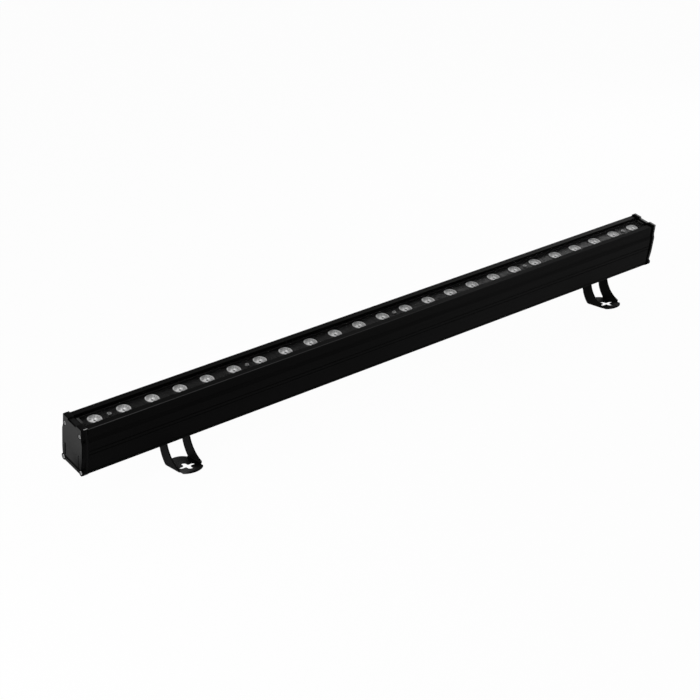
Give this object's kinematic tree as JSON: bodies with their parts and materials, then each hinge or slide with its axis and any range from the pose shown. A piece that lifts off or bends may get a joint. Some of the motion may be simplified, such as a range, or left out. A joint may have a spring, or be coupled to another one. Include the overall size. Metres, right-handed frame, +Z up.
{
  "type": "linear wall washer light",
  "caption": "Slim black linear wall washer light: an extruded bar with a row of lenses behind glass, on two sliding, tilting sheet-steel feet.",
  "frame": {"origin": "on the floor under the middle of the whole light's box, standing on its feet", "axes": "+X along the bar towards the cable gland, -Y the side that the lenses lean to, +Z up"},
  "size_m": [1.033, 0.0652, 0.1177],
  "materials": {
    "anodised_black": "black anodised, satin",
    "cap_black": "die-cast, fine black powder coat",
    "foot_black": "black powder coat on sheet steel",
    "clear_glass": "clear toughened glass",
    "clear_lens": "clear moulded acrylic over a bright reflector",
    "plate_black": "matt black",
    "seal_rubber": "black silicone",
    "screw_steel": "plain stainless steel",
    "light_board": "white solder mask on an aluminium board",
    "emitter": "pale yellow phosphor",
    "circuit_board": "green solder mask",
    "film": "milky insulating film",
    "winding_tape": "yellow tape",
    "capacitor_sleeve": "shrunk dark sleeve",
    "ferrite": "dark grey ferrite",
    "terminal_green": "moulded green",
    "lead_red": "insulated wire",
    "gland_black": "moulded black nylon",
    "zinc_steel": "zinc-plated steel",
    "block_black": "black anodised"
  },
  "bodies": {
    "lamp": {"housing": "anodised_black", "glass_cover": "clear_glass", "glass_seal": "seal_rubber", "lens_plate": "plate_black", "plate_screws": "screw_steel", "led_board": "light_board", "led_emitters": "emitter", "lens_01": "clear_lens", "lens_02": "clear_lens", "lens_03": "clear_lens", "lens_04": "clear_lens", "lens_05": "clear_lens", "lens_06": "clear_lens", "lens_07": "clear_lens", "lens_08": "clear_lens", "lens_09": "clear_lens", "lens_10": "clear_lens", "lens_11": "clear_lens", "lens_12": "clear_lens", "lens_13": "clear_lens", "lens_14": "clear_lens", "lens_15": "clear_lens", "lens_16": "clear_lens", "lens_17": "clear_lens", "lens_18": "clear_lens", "lens_19": "clear_lens", "lens_20": "clear_lens", "lens_21": "clear_lens", "lens_22": "clear_lens", "lens_23": "clear_lens", "lens_24": "clear_lens", "driver_board": "circuit_board", "driver_film": "film", "driver_transformer": "winding_tape", "driver_capacitors": "capacitor_sleeve", "driver_choke": "ferrite", "driver_terminal": "terminal_green", "lamp_leads": "lead_red", "end_cap_left": "cap_black", "end_cap_right": "cap_black", "end_gasket_left": "seal_rubber", "end_gasket_right": "seal_rubber", "end_screws_left": "screw_steel", "end_screws_right": "screw_steel", "gland_body": "gland_black", "gland_nut": "gland_black", "gland_seal": "seal_rubber", "gland_locknut": "gland_black"},
    "slider_left": {"slot_nut_left": "zinc_steel", "pivot_block_left": "block_black", "clamp_screw_left": "screw_steel", "pivot_screws_left": "screw_steel", "pivot_washers_left": "screw_steel"},
    "foot_left": {"foot_left": "foot_black"},
    "slider_right": {"slot_nut_right": "zinc_steel", "pivot_block_right": "block_black", "clamp_screw_right": "screw_steel", "pivot_screws_right": "screw_steel", "pivot_washers_right": "screw_steel"},
    "foot_right": {"foot_right": "foot_black"}
  },
  "joints": [
    {"name": "slide_left", "type": "slide", "parent": "lamp", "child": "slider_left", "axis": [1, 0, 0], "range_m": [-0.1109, 0.2991]},
    {"name": "tilt_left", "type": "hinge", "parent": "slider_left", "child": "foot_left", "pos_m": [-0.3656, 0.01159, 0.0376], "axis": [1, 0, 0], "range_deg": [-56.3, 83.7]},
    {"name": "slide_right", "type": "slide", "parent": "lamp", "child": "slider_right", "axis": [1, 0, 0], "range_m": [-0.3549, 0.0551]},
    {"name": "tilt_right", "type": "hinge", "parent": "slider_right", "child": "foot_right", "pos_m": [0.4084, 0.01159, 0.0376], "axis": [1, 0, 0], "range_deg": [-56.3, 83.7]}
  ]
}
